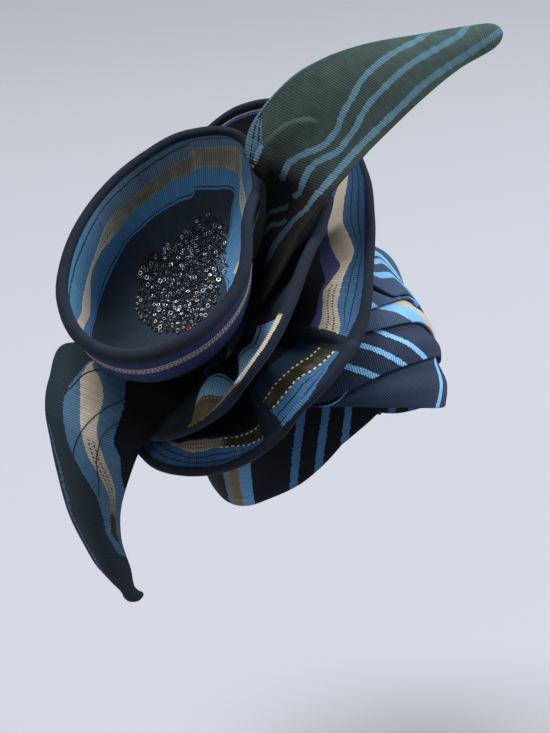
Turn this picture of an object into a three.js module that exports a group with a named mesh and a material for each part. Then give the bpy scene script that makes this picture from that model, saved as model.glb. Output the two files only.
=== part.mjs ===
// A tied gele head tie: a wrapped cap, pleated folds over the brow, and a rosette with two tails.
// Millimetres, +Z up. The wearer faces -Y, so the wearer's right side is -X.
// The origin is the middle of the head hollow at its widest level.
import * as THREE from 'three';
import { mergeVertices } from 'three/addons/utils/BufferGeometryUtils.js';

// Cloth sizes
const CLOTH = 2;
const RUFFLE_CLOTH = 2.2;
const GAP = 0.7;
const CROWN_GAP = 1.1;

// Head hollow: half breadth, half length, height over the origin, and the depth its sides run towards
const HOLLOW = { side: 77, front: 96, top: 98, below: 150 };

// Lower edge of the cap: direction round the head (0 front, 90 wearer's left) and latitude
const CAP_EDGE = {
  columns: ['azimuth', 'latitude'],
  rows: [
    [-180, -21],
    [-140, -24],
    [-112, -27],
    [-94, -28],
    [-78, -25],
    [-62, -18.5],
    [-48, -12],
    [-37, -5],
    [-27, 2.5],
    [-19, 7.8],
    [-9, 13],
    [4, 13],
    [22, 8.5],
    [45, 1],
    [70, -9],
    [95, -17],
    [135, -20],
  ],
};

// Lower edges of the shingled folds: each row is an angle from the right ear to the left ear,
// and each column is how far that edge is turned up from the brow (0 straight ahead, 90 over the crown)
const FOLD_EDGES = {
  columns: ['ear', 'brow', 'first', 'second', 'third', 'crown'],
  rows: [
    [28, 25, 27, 31, 35, 40],
    [44, 21.4, 23.4, 35, 42, 49],
    [53, 19.5, 21.5, 38, 46, 53.5],
    [65, 17.3, 23.7, 41.5, 49, 59],
    [79, 14.4, 26, 43, 50.6, 63.5],
    [92, 11.8, 26.9, 42.3, 50.8, 64.5],
    [99, 10.1, 27, 42.3, 51.3, 58.3],
    [106, 8.3, 27, 42.3, 52, 54.2],
    [120, 4, 26.6, 42, 54, 56.5],
    [135, -1.5, 24.5, 38, 51, 54.5],
    [152, -9, 17, 28, 38, 44],
  ],
};
const FOLD_ENDS = { right: 28, left: 163 };
const FOLD_TUCK = 0.32;
const FOLD_PUFF = 1.4;
const CROWN_SETTLE = 22;
const NAPE_DROP = 48;
const NAPE_TURN = 62;

// Ridge of the crown wrap where it is drawn up behind the rosette
const RIDGE = { ear: 131, earReach: 32, turn: 88, turnReach: 24, height: 12 };

// Rosette seat on the wearer's right side, the rings on it that its pieces start from,
// in degrees from its middle, and how far those rings stand over the head
const SEAT = { azimuth: -106, elevation: 40 };
const RING = { bowl: 11, middle: 20, outer: 29 };
const SEAT_LIFT = { bowl: 5.8, middle: 6.7, outer: 7.3 };

// Rims of the two ruffles about the seat: angle (0 over the crown, 90 front, 180 ear), distance out,
// height over the seat, and radius of the rolled edge
const OUTER_RIM = {
  columns: ['angle', 'radius', 'height', 'roll'],
  rows: [
    [0, 136, -22, 3.6],
    [13, 120, -28, 3.8],
    [32, 107, -32, 4],
    [58, 106, -36, 4],
    [77, 112, -27, 3.8],
    [91, 115, -20, 3.6],
    [106, 115, -21, 3.5],
    [119, 113, -17, 3.4],
    [131, 113, -6, 3.3],
    [142, 110, 6, 3.2],
    [152, 101, 12, 3],
    [170, 84, 17, 3],
    [195, 73, 20, 3],
    [225, 68, 24, 3],
    [258, 70, 34, 3],
    [290, 83, 48, 3],
    [313, 104, 54, 3.2],
    [324, 122, 54, 3.3],
    [331, 138, 48, 3.4],
    [337, 151, 34, 3.4],
    [343, 156, 14, 3.5],
    [350, 150, -9, 3.5],
  ],
};
const OUTER_SWELL = 10;
const RIPPLE = { count: 8, height: 3, phase: 140 };
const MIDDLE_RIM = {
  columns: ['angle', 'radius', 'height', 'roll', 'gather'],
  rows: [
    [8, 112, -3, 3, 6],
    [24, 100, 3, 3.8, 3],
    [41, 94, 8, 4, -2],
    [56, 94, 11, 4.2, 3],
    [78, 102, 14, 4.2, -3],
    [92, 106, 17, 4, 2],
    [104, 107, 15, 3.8, -5],
    [114, 104, 16, 3.3, 9],
    [128, 100, 16, 2.9, 4],
    [140, 96, 16, 2.4, 3],
    [149, 94, 16, 1.8, 6],
  ],
};
const MIDDLE_SWELL = -4;

// Bowl of the rosette: middle of its rim, direction it opens to, depth and floor; its rim can dip,
// and a larger belly makes the wall stand steeper under the rim
const BOWL = { x: -120, y: 1, z: 133, azimuth: -49, elevation: 53, depth: 60, floor: 36, neck: 20 };
const BOWL_RIM = {
  columns: ['angle', 'radius', 'dip', 'roll', 'belly'],
  rows: [
    [0, 84, 0, 3.2, 1.6],
    [20, 95, 6, 3.2, 1.6],
    [38, 78, 15, 3.4, 1.6],
    [55, 62, 5, 3.6, 1.6],
    [72, 55, 0, 3.8, 1.6],
    [90, 55.5, 0, 4, 1.7],
    [112, 61, 0, 4.2, 1.9],
    [135, 69, 0, 4.6, 2.2],
    [158, 78.5, 0, 5, 2.4],
    [180, 87, 0, 5, 2.4],
    [202, 86, 0, 4.6, 2.2],
    [225, 75.5, 0, 4.2, 1.9],
    [248, 64, 0, 3.8, 1.7],
    [270, 58, 0, 3.5, 1.6],
    [292, 56.5, 0, 3.3, 1.6],
    [315, 60, 0, 3.2, 1.6],
    [338, 69, 0, 3.2, 1.6],
  ],
};

// Bead cluster on the bowl's floor: how far it reaches up the bowl (1 is the rim) by angle round the bowl
const BEAD_REACH = {
  columns: ['angle', 'reach'],
  rows: [
    [5, 0.5],
    [24, 0.47],
    [40, 0.35],
    [65, 0.25],
    [100, 0.215],
    [140, 0.24],
    [180, 0.27],
    [225, 0.265],
    [270, 0.245],
    [305, 0.31],
    [325, 0.34],
    [345, 0.36],
  ],
};
const BEAD_BED = { edge: 1.4, middle: 3.4 };

// Tails: way along the tail, its two edges, and how far the cloth between them bows out of their line
const UPPER_TAIL = {
  columns: ['way', 'lx', 'ly', 'lz', 'rx', 'ry', 'rz', 'bow', 'cloth'],
  rows: [
    [0, -57, 7, 79.5, -65.7, -5, 67.5, 2, 2.2],
    [0.15, -51, -11, 121, -71, -44, 99, 5, 2.2],
    [0.26, -46, -9, 150, -43, -42, 134, 10, 2.2],
    [0.3, -48, -9, 165, -32, -43, 146, 9, 2.2],
    [0.35, -59, -7, 178, -21, -44, 158, 7, 2.2],
    [0.41, -56, -2, 194, -9, -44, 167, 4, 2.2],
    [0.48, -40, 3, 209, 7, -43, 178, 0, 2.2],
    [0.58, -10, 3, 228, 28, -41, 190, -4, 2.2],
    [0.7, 30, -4, 239, 57, -39, 206, -5, 2.2],
    [0.85, 79, -17, 243, 92, -37, 222, -4, 3],
    [0.96, 119, -30, 247, 119, -39, 231, -1, 5],
    [1, 131, -34, 245, 130, -38, 236, 0, 4],
  ],
};
const LOWER_TAIL = {
  columns: ['way', 'lx', 'ly', 'lz', 'rx', 'ry', 'rz', 'bow', 'cloth'],
  rows: [
    [0, -84, 12, 53, -82, 3, 43, 2, 2.2],
    [0.16, -126, 18, 52, -116, -12, 24.8, 3, 2.2],
    [0.29, -176, 35, 65, -132, -15, 21.6, 4, 2.2],
    [0.38, -196, 23, 49, -148, -23, 14, 11, 2.2],
    [0.46, -203, 16, 34, -157, -22, 6, 17, 2.2],
    [0.55, -203, 11, 13, -165, -20, -13, 19, 2.2],
    [0.64, -202, 6, -8, -172, -20, -33, 17, 2.2],
    [0.75, -199, -2, -37, -174, -22, -53, 14, 2.2],
    [0.84, -192, -13, -62, -173, -26, -67, 9, 3],
    [0.93, -183, -22, -82, -170, -32, -84, 4, 7],
    [1, -175, -32, -99, -164, -36, -94, 0, 10],
  ],
};

// Colours of the pieces
const COLOURS = {
  cap: 0x161d24,
  brow_band: 0x1f2a38,
  front_fold_1: 0x1b2430,
  front_fold_2: 0x222d3b,
  front_fold_3: 0x1b2430,
  crown_wrap: 0x1a222c,
  outer_ruffle: 0x2a3650,
  middle_ruffle: 0x27304a,
  rosette_bowl: 0x24303f,
  upper_tail: 0x252b30,
  lower_tail: 0x3a4d63,
  bead_cluster: 0x4a4c50,
};

const rad = (degrees) => degrees * Math.PI / 180;
const mix = (a, b, t) => a + (b - a) * t;
const vec = (x, y, z) => new THREE.Vector3(x, y, z);
const smooth = (a, b, x) => THREE.MathUtils.smoothstep(x, a, b);
const swell = (x, middle, reach) => 1 - smooth(0, reach, Math.abs(x - middle));

// A smooth curve through one column of a table, against its first column; a period closes it on itself
function column(table, name, period = 0) {
  const k = table.columns.indexOf(name);
  const rows = table.rows;
  const count = rows.length;
  const knot = (i) => {
    if (!period) {
      const row = rows[Math.min(Math.max(i, 0), count - 1)];
      return [row[0], row[k]];
    }
    const turn = Math.floor(i / count);
    const row = rows[i - turn * count];
    return [row[0] + turn * period, row[k]];
  };
  const slope = (i) => {
    const [xa, ya] = knot(i - 1);
    const [xb, yb] = knot(i + 1);
    return (yb - ya) / (xb - xa);
  };
  return (at) => {
    const start = rows[0][0];
    const x = period ? start + THREE.MathUtils.euclideanModulo(at - start, period) : at;
    const last = period ? count - 1 : count - 2;
    let i = 0;
    while (i < last && x >= knot(i + 1)[0]) {
      i += 1;
    }
    const [xa, ya] = knot(i);
    const [xb, yb] = knot(i + 1);
    const w = xb - xa;
    const t = Math.min(Math.max((x - xa) / w, 0), 1);
    const a = (1 + 2 * t) * (1 - t) * (1 - t) * ya + t * t * (3 - 2 * t) * yb;
    return a + w * t * (1 - t) * ((1 - t) * slope(i) - t * slope(i + 1));
  };
}

// Directions about a seat: its axis, the way up across it, and the way to the wearer's front across it
function directions(azimuth, elevation) {
  const flat = Math.cos(rad(elevation));
  const axis = vec(flat * Math.sin(rad(azimuth)), -flat * Math.cos(rad(azimuth)), 0);
  axis.z = Math.sin(rad(elevation));
  const up = vec(0, 0, 1).addScaledVector(axis, -axis.z).normalize();
  const front = up.clone().cross(axis);
  const around = (angle) => {
    const along = up.clone().multiplyScalar(Math.cos(rad(angle)));
    return along.addScaledVector(front, Math.sin(rad(angle)));
  };
  return { axis, around };
}

// Closed mesh through loops of points; open rows of loops are closed across their first and last loop
function loft(loops, closed) {
  const m = loops[0].length;
  const points = loops.flat();
  const index = [];
  const quad = (a, b, c, d) => index.push(a, b, c, a, c, d);
  const rows = closed ? loops.length : loops.length - 1;
  for (let i = 0; i < rows; i += 1) {
    const here = i * m;
    const next = ((i + 1) % loops.length) * m;
    for (let j = 0; j < m; j += 1) {
      const k = (j + 1) % m;
      quad(here + j, here + k, next + k, next + j);
    }
  }
  if (!closed) {
    const end = (loops.length - 1) * m;
    for (let j = 0; j < m / 2 - 1; j += 1) {
      const far = m - 1 - j;
      quad(j, far, far - 1, j + 1);
      quad(end + j, end + j + 1, end + far - 1, end + far);
    }
  }
  return solid(points, index);
}

// Points and triangles joined to one body: shared points merged, empty triangles dropped, faces turned out
function solid(points, index) {
  const raw = new THREE.BufferGeometry().setFromPoints(points);
  raw.setIndex(index);
  const joined = mergeVertices(raw, 1e-4);
  const at = (i) => vec().fromBufferAttribute(joined.attributes.position, i);
  const old = joined.index.array;
  const kept = [];
  let volume = 0;
  for (let i = 0; i < old.length; i += 3) {
    const [a, b, c] = [old[i], old[i + 1], old[i + 2]];
    if (a !== b && b !== c && c !== a) {
      kept.push(a, b, c);
      volume += at(a).dot(at(b).cross(at(c)));
    }
  }
  joined.setIndex(volume < 0 ? kept.reverse() : kept);
  joined.computeVertexNormals();
  return joined;
}

// Loops of a cloth whose middle surface is a function of two ways, u along and v across to the free edge;
// the free edge can be rolled, and the start of the cloth can be carried on by extra points (the bowl's neck)
const ROLL_STEPS = 5;
function clothLoops({ us, vs, at, wall, roll, pole, carry }) {
  const step = 1e-3;
  return us.map((u) => {
    const front = [];
    const back = [];
    const across = (v) => at(u, v + step).sub(at(u, v - step)).normalize();
    const normal = (v) => at(u + step, v).sub(at(u - step, v)).cross(across(v)).normalize();
    for (const v of vs) {
      const n = pole && v === 0 ? pole : normal(v);
      const half = wall(u, v) / 2;
      front.push(at(u, v).addScaledVector(n, half));
      back.push(at(u, v).addScaledVector(n, -half));
    }
    const arc = [];
    if (roll) {
      const r = roll(u);
      const half = wall(u, 1) / 2;
      const out = across(1);
      const side = normal(1);
      const middle = at(u, 1).addScaledVector(out, Math.sqrt(r * r - half * half));
      const open = Math.PI - Math.asin(half / r);
      for (let k = 1; k < ROLL_STEPS; k += 1) {
        const a = mix(open, -open, k / ROLL_STEPS);
        const edge = middle.clone().addScaledVector(out, r * Math.cos(a));
        arc.push(edge.addScaledVector(side, r * Math.sin(a)));
      }
    }
    back.reverse();
    if (carry) {
      back.splice(carry.after, 0, ...carry.points(u));
    }
    return [...front, ...arc, ...back];
  });
}

const ring = (count) => Array.from({ length: count }, (_, i) => i / count);
const spread = (count, from = 0, to = 1) => [...ring(count), 1].map((t) => mix(from, to, t));

// A point over the head hollow: a direction on the unit sphere, raised by a lift
function overHead(x, y, z, lift) {
  const height = z > 0 ? HOLLOW.top : HOLLOW.below;
  return vec((HOLLOW.side + lift) * x, (HOLLOW.front + lift) * y, (height + lift) * z);
}

function cap() {
  const edge = column(CAP_EDGE, 'latitude', 360);
  const loops = ring(40).map((u) => {
    const azimuth = -180 + 360 * u;
    const side = (lift) => spread(9).map((v) => {
      const latitude = rad(mix(edge(azimuth), 90, v));
      const flat = v === 1 ? 0 : Math.cos(latitude);
      const x = flat * Math.sin(rad(azimuth));
      const y = -flat * Math.cos(rad(azimuth));
      return overHead(x, y, Math.sin(latitude), lift);
    });
    return [...side(CLOTH), ...side(0).reverse()];
  });
  return loft(loops, true);
}

// A point over the head by its angle from the right ear and how far it is turned up from the brow
function overFold(ear, turn, lift) {
  const out = Math.sin(rad(ear));
  return overHead(-Math.cos(rad(ear)), -out * Math.cos(rad(turn)), out * Math.sin(rad(turn)), lift);
}

// A layer of cloth over the head, its two faces a cloth apart
function layer(us, vs, at) {
  const loops = us.map((u) => [
    ...vs.map((v) => at(u, v, CLOTH)),
    ...vs.map((v) => at(u, v, 0)).reverse(),
  ]);
  return loft(loops, false);
}

const BASE_LIFT = CLOTH + GAP;
const RAISED = CLOTH + GAP;

// A fold between its own lower edge and the next one's, which it tucks under
function fold(name, next, after) {
  const low = column(FOLD_EDGES, name);
  const high = column(FOLD_EDGES, next);
  const beyond = after ? column(FOLD_EDGES, after) : (ear) => high(ear) + 40;
  return layer(spread(20, FOLD_ENDS.right, FOLD_ENDS.left), spread(5), (ear, v, face) => {
    const width = high(ear) - low(ear);
    const tuck = FOLD_TUCK * Math.min(width, beyond(ear) - high(ear));
    const turn = mix(low(ear), high(ear) + tuck, v);
    const x = (turn - low(ear)) / width;
    const puff = Math.min(FOLD_PUFF, 0.1 * width) * Math.sin(Math.PI * Math.min(x / 0.92, 1));
    const lift = BASE_LIFT + RAISED * (1 - smooth(0.4, 0.92, x)) + puff;
    return overFold(ear, turn, lift + face);
  });
}

function crownWrap() {
  const low = column(FOLD_EDGES, 'crown');
  return layer(spread(20, FOLD_ENDS.right, FOLD_ENDS.left), spread(17), (ear, v, face) => {
    const drop = NAPE_DROP / (HOLLOW.below * Math.sin(rad(ear)));
    const nape = 180 + THREE.MathUtils.radToDeg(Math.asin(Math.min(drop, Math.sin(rad(NAPE_TURN)))));
    const edge = low(ear);
    const turn = mix(edge, nape, v);
    const lift = CLOTH + CROWN_GAP + RAISED * (1 - smooth(6, CROWN_SETTLE, turn - edge));
    const ridge = swell(ear, RIDGE.ear, RIDGE.earReach) * swell(turn, RIDGE.turn, RIDGE.turnReach);
    return overFold(ear, turn, lift + RIDGE.height * ridge + face);
  });
}

const seat = directions(SEAT.azimuth, SEAT.elevation);

// A point on the head under the rosette: angle from the seat's middle, and angle round it
function onSeat(reach, angle, lift) {
  const way = seat.axis.clone().multiplyScalar(Math.cos(rad(reach)));
  way.addScaledVector(seat.around(angle), Math.sin(rad(reach)));
  const height = way.z > 0 ? HOLLOW.top : HOLLOW.below;
  const unit = vec(way.x / HOLLOW.side, way.y / HOLLOW.front, way.z / height).normalize();
  return overHead(unit.x, unit.y, unit.z, lift);
}

// Wall of a ruffle from its ring on the seat to its rim
function ruffleWall(table, period, part, lift, wave) {
  const middle = onSeat(0, 0, SEAT_LIFT.outer);
  const radius = column(table, 'radius', period);
  const height = column(table, 'height', period);
  return (angle, v) => {
    const root = onSeat(RING[part], angle, SEAT_LIFT[part]);
    const rim = middle.clone().addScaledVector(seat.around(angle), radius(angle));
    rim.addScaledVector(seat.axis, height(angle));
    const bend = root.clone().lerp(rim, 0.42).addScaledVector(seat.axis, lift);
    const point = root.multiplyScalar((1 - v) * (1 - v));
    point.addScaledVector(bend, 2 * v * (1 - v));
    point.addScaledVector(rim, v * v);
    return point.addScaledVector(seat.axis, wave(angle) * Math.sin(Math.PI * v));
  };
}

function outerRuffle() {
  const wave = (angle) => RIPPLE.height * Math.sin(rad(angle * RIPPLE.count + RIPPLE.phase));
  const wall = ruffleWall(OUTER_RIM, 360, 'outer', OUTER_SWELL, wave);
  const roll = column(OUTER_RIM, 'roll', 360);
  const loops = clothLoops({
    us: ring(56),
    vs: spread(5),
    at: (u, v) => wall(360 * u, v),
    wall: () => RUFFLE_CLOTH,
    roll: (u) => roll(360 * u),
  });
  return loft(loops, true);
}

function middleRuffle() {
  const wall = ruffleWall(MIDDLE_RIM, 0, 'middle', MIDDLE_SWELL, column(MIDDLE_RIM, 'gather'));
  const roll = column(MIDDLE_RIM, 'roll');
  const first = MIDDLE_RIM.rows[0][0];
  const last = MIDDLE_RIM.rows[MIDDLE_RIM.rows.length - 1][0];
  const loops = clothLoops({
    us: spread(28),
    vs: spread(5),
    at: (u, v) => wall(mix(first, last, u), v),
    wall: () => RUFFLE_CLOTH,
    roll: (u) => roll(mix(first, last, u)),
  });
  return loft(loops, false);
}

const bowl = directions(BOWL.azimuth, BOWL.elevation);
const bowlFloor = vec(BOWL.x, BOWL.y, BOWL.z).addScaledVector(bowl.axis, -BOWL.depth);
const FLOOR_WAY = 0.3;
const NECK_WALL = 1.4;

// Middle surface of the bowl: angle round it, and way from the middle of its floor (0) to its rim (1)
function bowlPoint(angle, v) {
  const rim = column(BOWL_RIM, 'radius', 360)(angle);
  const depth = BOWL.depth - column(BOWL_RIM, 'dip', 360)(angle);
  const belly = column(BOWL_RIM, 'belly', 360)(angle);
  let out = BOWL.floor * v / FLOOR_WAY;
  let height = 0;
  if (v > FLOOR_WAY) {
    const t = (v - FLOOR_WAY) / (1 - FLOOR_WAY);
    out = BOWL.floor + (rim - BOWL.floor) * (1 - Math.max(1 - t, 0) ** belly);
    height = depth * (0.2 * t + 0.8 * t * t);
  }
  return bowlFloor.clone().addScaledVector(bowl.around(angle), out).addScaledVector(bowl.axis, height);
}

function rosetteBowl() {
  const roll = column(BOWL_RIM, 'roll', 360);
  const neckWay = FLOOR_WAY * BOWL.neck / BOWL.floor;
  const neckWall = FLOOR_WAY * RUFFLE_CLOTH / BOWL.floor;
  const vs = [0, neckWay - neckWall, neckWay, FLOOR_WAY, 0.42, 0.56, 0.7, 0.85, 1];
  const under = (u, v) => bowlPoint(360 * u, v).addScaledVector(bowl.axis, -RUFFLE_CLOTH / 2);
  const neckOut = (u) => onSeat(RING.bowl, 360 * u, SEAT_LIFT.bowl);
  const neckIn = (u) => onSeat(RING.bowl - NECK_WALL, 360 * u, SEAT_LIFT.bowl);
  const loops = clothLoops({
    us: ring(40),
    vs,
    at: (u, v) => bowlPoint(360 * u, v),
    wall: () => RUFFLE_CLOTH,
    roll: (u) => roll(360 * u),
    pole: bowl.axis,
    carry: {
      after: vs.length - vs.indexOf(neckWay),
      points: (u) => [
        under(u, neckWay).lerp(neckOut(u), 0.5),
        neckOut(u),
        neckIn(u),
        under(u, neckWay - neckWall).lerp(neckIn(u), 0.5),
      ],
    },
  });
  return loft(loops, true);
}

// A point over the inside of the bowl, raised square to its cloth
function overBowl(angle, v, lift) {
  const step = 0.02;
  const across = bowlPoint(angle, v + step).sub(bowlPoint(angle, Math.max(v - step, 0)));
  const side = bowl.around(angle + 90);
  const square = v > 0 ? across.cross(side).normalize() : bowl.axis.clone();
  return bowlPoint(angle, v).addScaledVector(square, square.dot(bowl.axis) < 0 ? -lift : lift);
}

function beadCluster() {
  const reach = column(BEAD_REACH, 'reach', 360);
  const loops = ring(20).map((u) => {
    const clear = RUFFLE_CLOTH / 2 + CROWN_GAP;
    const over = (v, lift) => overBowl(360 * u, v * reach(360 * u), lift);
    const raise = (v) => clear + mix(BEAD_BED.middle, BEAD_BED.edge, v * v);
    const vs = spread(5);
    return [
      ...vs.map((v) => over(v, raise(v))),
      ...vs.map((v) => over(v, clear)).reverse(),
    ];
  });
  return loft(loops, true);
}

// A tail: cloth between two edges, bowed out of their line, thickening to a round tip
function tail(table, stations) {
  const curve = Object.fromEntries(table.columns.map((name) => [name, column(table, name)]));
  const left = (w) => vec(curve.lx(w), curve.ly(w), curve.lz(w));
  const right = (w) => vec(curve.rx(w), curve.ry(w), curve.rz(w));
  const along = (w) => left(w + 0.01).add(right(w + 0.01)).sub(left(w - 0.01)).sub(right(w - 0.01));
  const facing = (w) => along(w).cross(right(w).sub(left(w))).normalize();
  const loops = clothLoops({
    us: spread(stations),
    vs: spread(6),
    at: (u, v) => {
      const bow = curve.bow(u) * Math.sin(Math.PI * v);
      return left(u).lerp(right(u), v).addScaledVector(facing(u), bow);
    },
    wall: (u, v) => {
      const round = Math.sqrt(Math.max(1 - (2 * v - 1) ** 2, 0.02));
      return mix(curve.cloth(u), curve.cloth(u) * round, smooth(0.85, 0.95, u));
    },
  });
  return loft(loops, false);
}

const PIECES = {
  cap: cap(),
  brow_band: fold('brow', 'first', 'second'),
  front_fold_1: fold('first', 'second', 'third'),
  front_fold_2: fold('second', 'third', 'crown'),
  front_fold_3: fold('third', 'crown'),
  crown_wrap: crownWrap(),
  outer_ruffle: outerRuffle(),
  middle_ruffle: middleRuffle(),
  rosette_bowl: rosetteBowl(),
  upper_tail: tail(UPPER_TAIL, 24),
  lower_tail: tail(LOWER_TAIL, 24),
  bead_cluster: beadCluster(),
};

const gele = new THREE.Group();
gele.name = 'tied_gele';
for (const [name, shape] of Object.entries(PIECES)) {
  const glassy = name === 'bead_cluster';
  const cloth = new THREE.MeshStandardMaterial({
    color: COLOURS[name],
    roughness: glassy ? 0.25 : 0.85,
    metalness: 0,
  });
  const mesh = new THREE.Mesh(shape, cloth);
  mesh.name = name;
  gele.add(mesh);
}

export default gele;
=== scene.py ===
"""A tied gele head tie: a wrapped cap, pleated folds over the brow, and a side rosette with two tails.

Sizes are in millimetres and are scaled to metres when a mesh is made. +Z is up, the wearer faces -Y,
and the wearer's right side, with the rosette, is -X.
"""

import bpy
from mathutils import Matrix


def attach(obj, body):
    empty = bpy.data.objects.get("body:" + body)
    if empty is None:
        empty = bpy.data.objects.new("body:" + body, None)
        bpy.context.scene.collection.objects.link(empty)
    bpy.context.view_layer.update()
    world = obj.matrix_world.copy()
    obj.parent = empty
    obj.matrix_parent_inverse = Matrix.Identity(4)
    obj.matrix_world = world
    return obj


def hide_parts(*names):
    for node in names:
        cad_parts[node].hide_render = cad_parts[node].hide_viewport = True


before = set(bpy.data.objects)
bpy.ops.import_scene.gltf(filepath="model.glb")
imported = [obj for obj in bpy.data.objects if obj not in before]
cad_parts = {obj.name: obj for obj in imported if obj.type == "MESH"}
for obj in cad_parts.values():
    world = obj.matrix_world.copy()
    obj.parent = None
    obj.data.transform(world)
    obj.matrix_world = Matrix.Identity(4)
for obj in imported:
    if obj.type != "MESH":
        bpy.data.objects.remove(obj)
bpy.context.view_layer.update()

import bmesh
import bpy
import numpy as np

MM = 0.001

# Cloth: thickness over the head and in the rosette, gaps between layers, and pitch of the ribs
CLOTH = 2.0
RUFFLE_CLOTH = 2.2
GAP = 0.7
CROWN_GAP = 1.1
RIB = 1.6

# Head hollow: half breadth, half length, height over the origin, and the depth its sides run towards
SIDE, FRONT, TOP, BELOW = 77.0, 96.0, 98.0, 150.0


def table(names, rows):
    """A table of numbers with named columns."""
    return dict(zip(names.split(), np.array(rows, float).T))


# Lower edge of the cap: direction round the head (0 front, 90 wearer's left) and latitude
CAP_EDGE = table("azimuth latitude", [
    [-180, -21], [-140, -24], [-112, -27], [-94, -28], [-78, -25], [-62, -18.5], [-48, -12], [-37, -5],
    [-27, 2.5], [-19, 7.8], [-9, 13], [4, 13], [22, 8.5], [45, 1], [70, -9], [95, -17], [135, -20],
])

# Lower edges of the shingled folds by angle from the right ear to the left ear, as turn up from the brow
FOLD_EDGES = table("ear brow first second third crown", [
    [28, 25, 27, 31, 35, 40],
    [44, 21.4, 23.4, 35, 42, 49],
    [53, 19.5, 21.5, 38, 46, 53.5],
    [65, 17.3, 23.7, 41.5, 49, 59],
    [79, 14.4, 26, 43, 50.6, 63.5],
    [92, 11.8, 26.9, 42.3, 50.8, 64.5],
    [99, 10.1, 27, 42.3, 51.3, 58.3],
    [106, 8.3, 27, 42.3, 52, 54.2],
    [120, 4, 26.6, 42, 54, 56.5],
    [135, -1.5, 24.5, 38, 51, 54.5],
    [152, -9, 17, 28, 38, 44],
])
# Folds: ends, part tucked under the next, swell, and parts of the width between which a fold comes down
FOLD_RIGHT, FOLD_LEFT = 28.0, 163.0
FOLD_TUCK = 0.32
FOLD_PUFF = 1.4
FOLD_RAISED, FOLD_FLAT = 0.4, 0.92
# Crown: turns after its edge between which it settles, its lower edge behind, and the ridge on top
CROWN_HIGH, CROWN_SETTLE = 6.0, 22.0
NAPE_DROP = 48.0
NAPE_TURN = 62.0
RIDGE_EAR, RIDGE_TURN = 131.0, 88.0
RIDGE_EAR_REACH, RIDGE_TURN_REACH = 32.0, 24.0
RIDGE_HEIGHT = 12.0

# Rosette seat on the wearer's right side, and the rings on it that its pieces start from
SEAT_AZIMUTH, SEAT_ELEVATION = -106.0, 40.0
RING = {"bowl": 11.0, "middle": 20.0, "outer": 29.0}
SEAT_LIFT = {"bowl": 5.8, "middle": 6.7, "outer": 7.3}

# Rims of the two ruffles about the seat (angle 0 over the crown, 90 front, 180 ear)
OUTER_RIM = table("angle radius height roll", [
    [0, 136, -22, 3.6], [13, 120, -28, 3.8], [32, 107, -32, 4], [58, 106, -36, 4], [77, 112, -27, 3.8],
    [91, 115, -20, 3.6], [106, 115, -21, 3.5], [119, 113, -17, 3.4], [131, 113, -6, 3.3],
    [142, 110, 6, 3.2], [152, 101, 12, 3], [170, 84, 17, 3], [195, 73, 20, 3], [225, 68, 24, 3],
    [258, 70, 34, 3], [290, 83, 48, 3], [313, 104, 54, 3.2], [324, 122, 54, 3.3], [331, 138, 48, 3.4],
    [337, 151, 34, 3.4], [343, 156, 14, 3.5], [350, 150, -9, 3.5],
])
# Swell of the outer ruffle off the seat, place of the bend on the way to a rim, and ripples round the ruffle
OUTER_SWELL = 10.0
RUFFLE_BEND = 0.42
RIPPLE_COUNT, RIPPLE_HEIGHT, RIPPLE_PHASE = 8, 3.0, 140.0
MIDDLE_RIM = table("angle radius height roll gather", [
    [8, 112, -3, 3, 6], [24, 100, 3, 3.8, 3], [41, 94, 8, 4, -2], [56, 94, 11, 4.2, 3],
    [78, 102, 14, 4.2, -3], [92, 106, 17, 4, 2], [104, 107, 15, 3.8, -5], [114, 104, 16, 3.3, 9],
    [128, 100, 16, 2.9, 4], [140, 96, 16, 2.4, 3], [149, 94, 16, 1.8, 6],
])
MIDDLE_SWELL = -4.0

# Bowl: middle of its rim, direction it opens to, depth, floor and neck, and way out to the floor's end
BOWL_MIDDLE = np.array([-120.0, 1.0, 133.0])
BOWL_AZIMUTH, BOWL_ELEVATION = -49.0, 53.0
BOWL_DEPTH, BOWL_FLOOR, BOWL_NECK = 60.0, 36.0, 20.0
FLOOR_WAY = 0.3
NECK_WALL = 1.4
BOWL_RIM = table("angle radius dip roll belly", [
    [0, 84, 0, 3.2, 1.6], [20, 95, 6, 3.2, 1.6], [38, 78, 15, 3.4, 1.6], [55, 62, 5, 3.6, 1.6],
    [72, 55, 0, 3.8, 1.6], [90, 55.5, 0, 4, 1.7], [112, 61, 0, 4.2, 1.9], [135, 69, 0, 4.6, 2.2],
    [158, 78.5, 0, 5, 2.4], [180, 87, 0, 5, 2.4], [202, 86, 0, 4.6, 2.2], [225, 75.5, 0, 4.2, 1.9],
    [248, 64, 0, 3.8, 1.7], [270, 58, 0, 3.5, 1.6], [292, 56.5, 0, 3.3, 1.6], [315, 60, 0, 3.2, 1.6],
    [338, 69, 0, 3.2, 1.6],
])

# Bead cluster on the bowl's floor: how far it reaches up the bowl (1 is the rim) by angle round the bowl
BEAD_REACH = table("angle reach", [
    [5, 0.5], [24, 0.47], [40, 0.35], [65, 0.25], [100, 0.215], [140, 0.24], [180, 0.27], [225, 0.265],
    [270, 0.245], [305, 0.31], [325, 0.34], [345, 0.36],
])

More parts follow.
